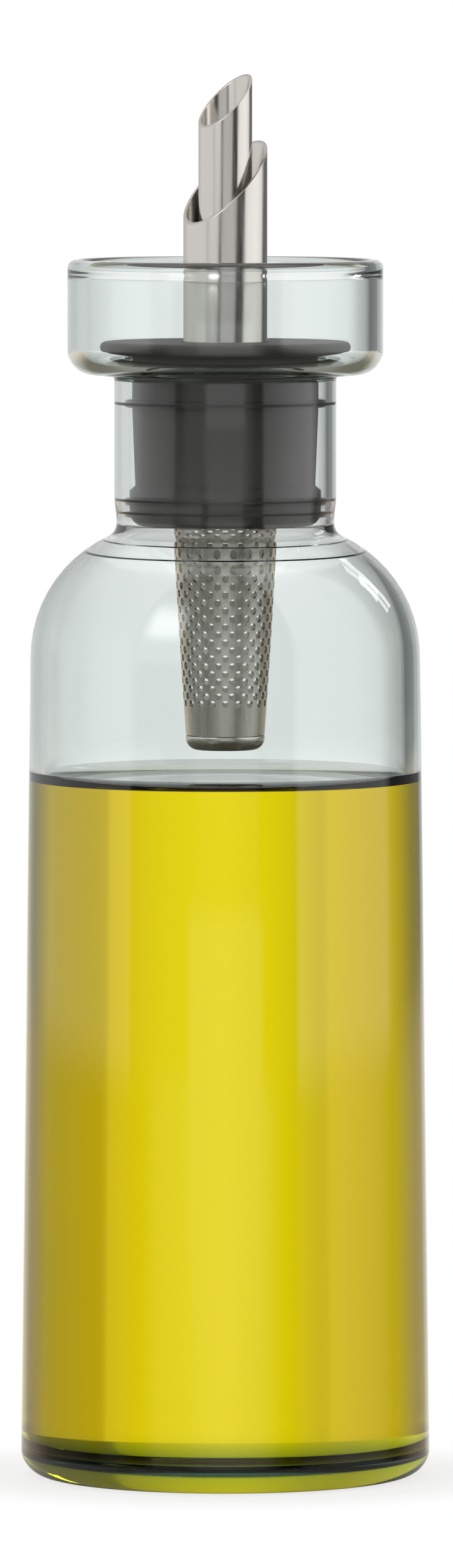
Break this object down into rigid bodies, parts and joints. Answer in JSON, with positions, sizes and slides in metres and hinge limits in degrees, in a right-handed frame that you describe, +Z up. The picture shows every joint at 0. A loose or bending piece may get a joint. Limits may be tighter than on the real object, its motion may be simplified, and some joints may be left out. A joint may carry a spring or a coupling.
{
  "type": "oil and vinegar bottle",
  "caption": "Tall glass table bottle for oil or vinegar, with a drip cup round its neck, a silicone stopper, a steel tube-in-tube pouring spout and a hanging strainer.",
  "frame": {"origin": "centre of the base, on the surface it stands on", "axes": "+Z up along the bottle's axis, +X towards the spout's pouring tip at rest"},
  "size_m": [0.065, 0.065, 0.2222],
  "materials": {
    "glass": "clear, smoke grey, blown",
    "oil": "clear golden liquid",
    "silicone": "satin, moulded",
    "spout_steel": "polished, drawn tube",
    "strainer_steel": "satin, perforated sheet"
  },
  "bodies": {
    "bottle": {"glass_bottle": "glass", "oil": "oil"},
    "stopper": {"silicone_stopper": "silicone", "strainer_sleeve": "strainer_steel", "strainer_cap": "strainer_steel"},
    "spout": {"drip_return_tube": "spout_steel", "pouring_tube": "spout_steel", "tube_spacer": "strainer_steel"}
  },
  "joints": [
    {"name": "stopper_pull", "type": "slide", "parent": "bottle", "child": "stopper", "axis": [0, 0, 1], "range_m": [0, 0.085]},
    {"name": "spout_turn", "type": "hinge", "parent": "stopper", "child": "spout", "pos_m": [0, 0, 0.18], "axis": [0, 0, 1], "continuous": true}
  ]
}
